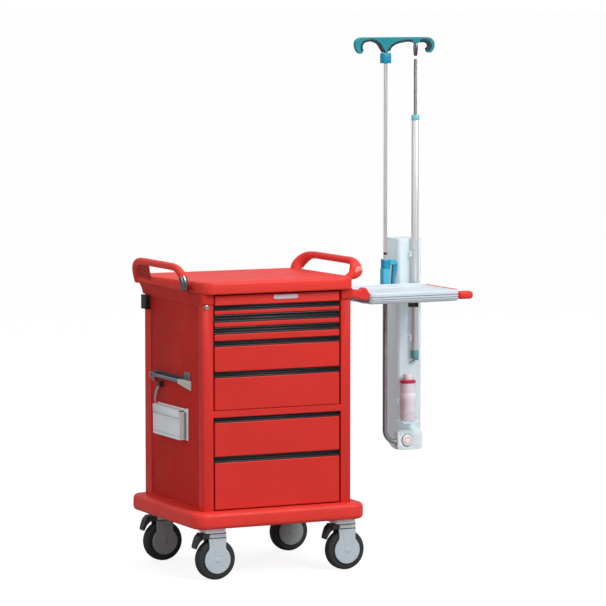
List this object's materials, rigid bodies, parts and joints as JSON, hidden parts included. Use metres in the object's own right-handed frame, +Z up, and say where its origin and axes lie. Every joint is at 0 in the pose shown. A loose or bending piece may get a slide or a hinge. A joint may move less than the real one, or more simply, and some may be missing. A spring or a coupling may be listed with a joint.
{
  "type": "crash cart",
  "caption": "Hospital emergency cart with drawers, writing shelf, moulded deck with push handles, folding side tray, infusion stand and braked swivel casters.",
  "frame": {"origin": "on the floor under the middle of the cabinet", "axes": "+Z up, +X to the right as the user faces the drawers, -Y out of the drawer fronts"},
  "size_m": [1.1868, 0.62, 1.9555],
  "materials": {
    "red_paint": "satin",
    "red_plastic": "satin",
    "zinc_steel": "satin",
    "grey_plastic": "satin",
    "black_plastic": "matte",
    "bracket_metal": "satin",
    "bright_steel": "polished",
    "grey_paint": "satin",
    "tray_plastic": "satin",
    "pole_aluminium": "satin",
    "teal_plastic": "satin",
    "white_plastic": "gloss",
    "bottle_plastic": "gloss",
    "blue_plastic": "satin",
    "label_plastic": "satin",
    "tyre_rubber": "matte"
  },
  "bodies": {
    "cart": {"cabinet_frame": "red_paint", "cabinet_panels": "red_paint", "slide_channels": "zinc_steel", "base_bumper": "red_plastic", "deck_top": "red_plastic", "push_handles": "red_plastic", "caster_mounts": "grey_plastic", "cable_hook": "black_plastic", "rail_brackets": "bracket_metal", "accessory_rail": "bright_steel", "box_tether": "bright_steel", "glove_box": "grey_plastic", "lock_housing": "bright_steel", "outrigger_beam": "grey_paint", "tray_bracket": "red_plastic", "column_housing": "grey_paint", "button_block": "grey_paint", "frame_tube": "bright_steel", "outer_tube": "pole_aluminium", "pole_clamp": "teal_plastic"},
    "box_lid": {"box_lid": "grey_plastic"},
    "lock_cylinder": {"lock_cylinder": "bright_steel"},
    "side_tray": {"side_tray": "tray_plastic", "tray_grips": "red_plastic"},
    "tray_latch": {"tray_latch": "black_plastic"},
    "clamp_lever": {"clamp_lever": "teal_plastic"},
    "call_button": {"call_button": "white_plastic"},
    "bottle": {"bottle": "bottle_plastic"},
    "infusion_stand": {"hook_bar": "teal_plastic", "inner_poles": "bright_steel"},
    "hook_knob": {"hook_knob": "blue_plastic"},
    "tube_collar": {"tube_collar": "teal_plastic"},
    "writing_shelf": {"writing_shelf": "red_paint", "label_plate": "label_plastic"},
    "drawer_1": {"drawer_1": "red_paint", "drawer_grip_1": "black_plastic"},
    "drawer_2": {"drawer_2": "red_paint", "drawer_grip_2": "black_plastic"},
    "drawer_3": {"drawer_3": "red_paint", "drawer_grip_3": "black_plastic"},
    "drawer_4": {"drawer_4": "red_paint", "drawer_grip_4": "black_plastic"},
    "drawer_5": {"drawer_5": "red_paint", "drawer_grip_5": "black_plastic"},
    "drawer_6": {"drawer_6": "red_paint", "drawer_grip_6": "black_plastic"},
    "drawer_7": {"drawer_7": "red_paint", "drawer_grip_7": "black_plastic"},
    "caster_fork_fl": {"caster_fork_fl": "grey_plastic"},
    "wheel_fl": {"wheel_fl": "tyre_rubber"},
    "brake_pedal_fl": {"brake_pedal_fl": "black_plastic"},
    "caster_fork_fr": {"caster_fork_fr": "grey_plastic"},
    "wheel_fr": {"wheel_fr": "tyre_rubber"},
    "brake_pedal_fr": {"brake_pedal_fr": "black_plastic"},
    "caster_fork_rl": {"caster_fork_rl": "grey_plastic"},
    "wheel_rl": {"wheel_rl": "tyre_rubber"},
    "brake_pedal_rl": {"brake_pedal_rl": "black_plastic"},
    "caster_fork_rr": {"caster_fork_rr": "grey_plastic"},
    "wheel_rr": {"wheel_rr": "tyre_rubber"},
    "brake_pedal_rr": {"brake_pedal_rr": "black_plastic"}
  },
  "joints": [
    {"name": "writing_shelf_slide", "type": "slide", "parent": "cart", "child": "writing_shelf", "axis": [0, -1, 0], "range_m": [0, 0.36]},
    {"name": "drawer_1_slide", "type": "slide", "parent": "cart", "child": "drawer_1", "axis": [0, -1, 0], "range_m": [0, 0.38]},
    {"name": "drawer_2_slide", "type": "slide", "parent": "cart", "child": "drawer_2", "axis": [0, -1, 0], "range_m": [0, 0.38]},
    {"name": "drawer_3_slide", "type": "slide", "parent": "cart", "child": "drawer_3", "axis": [0, -1, 0], "range_m": [0, 0.38]},
    {"name": "drawer_4_slide", "type": "slide", "parent": "cart", "child": "drawer_4", "axis": [0, -1, 0], "range_m": [0, 0.38]},
    {"name": "drawer_5_slide", "type": "slide", "parent": "cart", "child": "drawer_5", "axis": [0, -1, 0], "range_m": [0, 0.38]},
    {"name": "drawer_6_slide", "type": "slide", "parent": "cart", "child": "drawer_6", "axis": [0, -1, 0], "range_m": [0, 0.38]},
    {"name": "drawer_7_slide", "type": "slide", "parent": "cart", "child": "drawer_7", "axis": [0, -1, 0], "range_m": [0, 0.38]},
    {"name": "caster_swivel_fl", "type": "hinge", "parent": "cart", "child": "caster_fork_fl", "pos_m": [-0.262, -0.24, 0.165], "axis": [0, 0, 1], "continuous": true},
    {"name": "wheel_spin_fl", "type": "hinge", "parent": "caster_fork_fl", "child": "wheel_fl", "pos_m": [-0.24, -0.24, 0.075], "axis": [0, 1, 0], "continuous": true},
    {"name": "brake_fl", "type": "hinge", "parent": "caster_fork_fl", "child": "brake_pedal_fl", "pos_m": [-0.291, -0.24, 0.163], "axis": [0, 1, 0], "range_deg": [-14, 0]},
    {"name": "caster_swivel_fr", "type": "hinge", "parent": "cart", "child": "caster_fork_fr", "pos_m": [0.262, -0.24, 0.165], "axis": [0, 0, 1], "continuous": true},
    {"name": "wheel_spin_fr", "type": "hinge", "parent": "caster_fork_fr", "child": "wheel_fr", "pos_m": [0.284, -0.24, 0.075], "axis": [0, 1, 0], "continuous": true},
    {"name": "brake_fr", "type": "hinge", "parent": "caster_fork_fr", "child": "brake_pedal_fr", "pos_m": [0.233, -0.24, 0.163], "axis": [0, 1, 0], "range_deg": [-14, 0]},
    {"name": "caster_swivel_rl", "type": "hinge", "parent": "cart", "child": "caster_fork_rl", "pos_m": [-0.262, 0.24, 0.165], "axis": [0, 0, 1], "continuous": true},
    {"name": "wheel_spin_rl", "type": "hinge", "parent": "caster_fork_rl", "child": "wheel_rl", "pos_m": [-0.24, 0.24, 0.075], "axis": [0, 1, 0], "continuous": true},
    {"name": "brake_rl", "type": "hinge", "parent": "caster_fork_rl", "child": "brake_pedal_rl", "pos_m": [-0.291, 0.24, 0.163], "axis": [0, 1, 0], "range_deg": [-14, 0]},
    {"name": "caster_swivel_rr", "type": "hinge", "parent": "cart", "child": "caster_fork_rr", "pos_m": [0.262, 0.24, 0.165], "axis": [0, 0, 1], "continuous": true},
    {"name": "wheel_spin_rr", "type": "hinge", "parent": "caster_fork_rr", "child": "wheel_rr", "pos_m": [0.284, 0.24, 0.075], "axis": [0, 1, 0], "continuous": true},
    {"name": "brake_rr", "type": "hinge", "parent": "caster_fork_rr", "child": "brake_pedal_rr", "pos_m": [0.233, 0.24, 0.163], "axis": [0, 1, 0], "range_deg": [-14, 0]},
    {"name": "tray_fold", "type": "hinge", "parent": "cart", "child": "side_tray", "pos_m": [0.372, 0, 1.003], "axis": [0, 1, 0], "range_deg": [0, 90]},
    {"name": "tray_latch_slide", "type": "slide", "parent": "side_tray", "child": "tray_latch", "axis": [1, 0, 0], "range_m": [0, 0.012]},
    {"name": "stand_height", "type": "slide", "parent": "cart", "child": "infusion_stand", "axis": [0, 0, 1], "range_m": [-0.22, 0]},
    {"name": "hook_knob_turn", "type": "hinge", "parent": "infusion_stand", "child": "hook_knob", "pos_m": [0.615, 0.08, 1.877], "axis": [0, 0, 1], "range_deg": [0, 180]},
    {"name": "tube_collar_turn", "type": "hinge", "parent": "cart", "child": "tube_collar", "pos_m": [0.742, 0.08, 1.646], "axis": [0, 0, 1], "range_deg": [0, 90]},
    {"name": "clamp_lever_swing", "type": "hinge", "parent": "cart", "child": "clamp_lever", "pos_m": [0.65, 0.08, 1.104], "axis": [0, 1, 0], "range_deg": [-50, 0]},
    {"name": "call_button_press", "type": "slide", "parent": "cart", "child": "call_button", "axis": [0, 1, 0], "range_m": [0, 0.003], "stiffness_N_per_m": 300},
    {"name": "bottle_out", "type": "slide", "parent": "cart", "child": "bottle", "axis": [0, -1, 0], "range_m": [0, 0.07]},
    {"name": "box_lid_lift", "type": "hinge", "parent": "cart", "child": "box_lid", "pos_m": [-0.303, 0, 0.61], "axis": [0, 1, 0], "range_deg": [0, 75]},
    {"name": "lock_turn", "type": "hinge", "parent": "cart", "child": "lock_cylinder", "pos_m": [-0.284, -0.27, 0.996], "axis": [0, -1, 0], "range_deg": [0, 90]}
  ]
}
